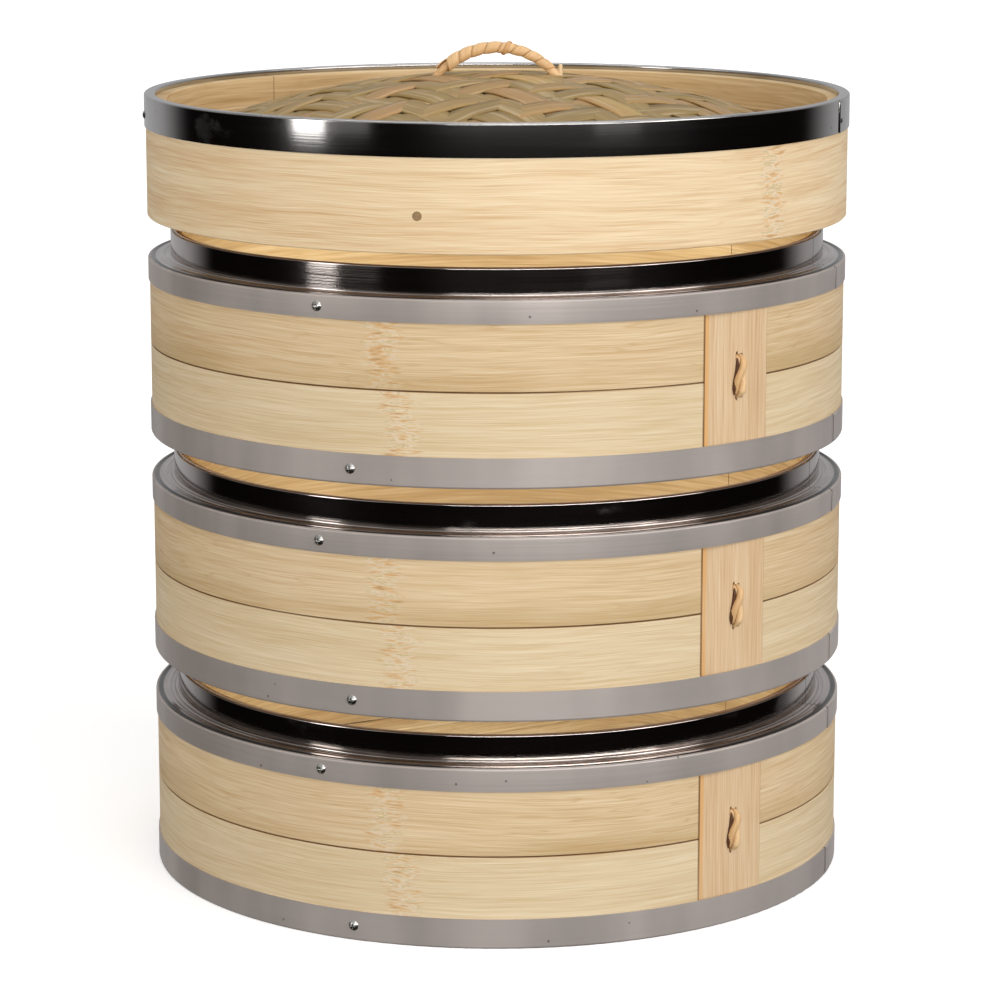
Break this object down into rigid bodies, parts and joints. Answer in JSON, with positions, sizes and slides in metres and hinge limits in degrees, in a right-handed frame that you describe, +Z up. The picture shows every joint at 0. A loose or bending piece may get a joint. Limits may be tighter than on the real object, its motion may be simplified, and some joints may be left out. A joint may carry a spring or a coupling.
{
  "type": "bamboo steamer basket",
  "caption": "Stacking bamboo steamer basket: round bent-bamboo tiers with steel-capped collars and slatted floors, under a woven domed lid with a rattan handle.",
  "frame": {"origin": "centre of the bottom tier's foot, on the surface that it stands on", "axes": "+Z up along the axis that the tiers and the lid lift along; the front of the walls, with the filler strip to its right, faces -Y"},
  "size_m": [0.2554, 0.255, 0.3013],
  "materials": {
    "bamboo_board": "plain sanded bamboo",
    "bamboo_hoop": "plain sanded bamboo",
    "bamboo_strip": "plain sanded bamboo",
    "floor_slats": "plain sanded bamboo",
    "rattan": "split rattan cane",
    "woven_dome": "woven bamboo splints",
    "steel_cap": "rolled stainless sheet, brushed face and bright collar",
    "steel_band": "brushed stainless sheet",
    "polished_band": "polished stainless sheet",
    "fasteners": "bright screws and rivets"
  },
  "bodies": {
    "bottom_tier": {"bottom_tier_upper_board": "bamboo_board", "bottom_tier_lower_board": "bamboo_board", "bottom_tier_backing_hoop": "bamboo_hoop", "bottom_tier_inner_hoop": "bamboo_hoop", "bottom_tier_filler_strip": "bamboo_strip", "bottom_tier_rattan_stitch": "rattan", "bottom_tier_top_cap": "steel_cap", "bottom_tier_bottom_band": "steel_band", "bottom_tier_band_screws": "fasteners", "bottom_tier_floor_slats": "floor_slats", "bottom_tier_floor_battens": "floor_slats", "bottom_tier_floor_pins": "bamboo_strip", "bottom_tier_floor_ring": "bamboo_hoop"},
    "middle_tier": {"middle_tier_upper_board": "bamboo_board", "middle_tier_lower_board": "bamboo_board", "middle_tier_backing_hoop": "bamboo_hoop", "middle_tier_inner_hoop": "bamboo_hoop", "middle_tier_filler_strip": "bamboo_strip", "middle_tier_rattan_stitch": "rattan", "middle_tier_top_cap": "steel_cap", "middle_tier_bottom_band": "steel_band", "middle_tier_band_screws": "fasteners", "middle_tier_floor_slats": "floor_slats", "middle_tier_floor_battens": "floor_slats", "middle_tier_floor_pins": "bamboo_strip", "middle_tier_floor_ring": "bamboo_hoop"},
    "top_tier": {"top_tier_upper_board": "bamboo_board", "top_tier_lower_board": "bamboo_board", "top_tier_backing_hoop": "bamboo_hoop", "top_tier_inner_hoop": "bamboo_hoop", "top_tier_filler_strip": "bamboo_strip", "top_tier_rattan_stitch": "rattan", "top_tier_top_cap": "steel_cap", "top_tier_bottom_band": "steel_band", "top_tier_band_screws": "fasteners", "top_tier_floor_slats": "floor_slats", "top_tier_floor_battens": "floor_slats", "top_tier_floor_pins": "bamboo_strip", "top_tier_floor_ring": "bamboo_hoop"},
    "lid": {"lid_outer_hoop": "bamboo_board", "lid_inner_hoop": "bamboo_hoop", "lid_steel_band": "polished_band", "lid_band_rivets": "fasteners", "lid_hoop_pegs": "bamboo_strip", "lid_dome_outer_weave": "woven_dome", "lid_dome_inner_weave": "woven_dome", "lid_dome_support_ring": "bamboo_hoop", "lid_dome_clamp_ring": "bamboo_hoop", "lid_handle_core": "rattan", "lid_handle_wrap": "rattan", "lid_handle_toggles": "bamboo_strip"}
  },
  "joints": [
    {"name": "middle_tier_lift", "type": "slide", "parent": "bottom_tier", "child": "middle_tier", "axis": [0, 0, 1], "range_m": [-0.0162, 0.06]},
    {"name": "top_tier_lift", "type": "slide", "parent": "middle_tier", "child": "top_tier", "axis": [0, 0, 1], "range_m": [-0.0162, 0.06]},
    {"name": "lid_lift", "type": "slide", "parent": "top_tier", "child": "lid", "axis": [0, 0, 1], "range_m": [-0.01415, 0.08]}
  ]
}
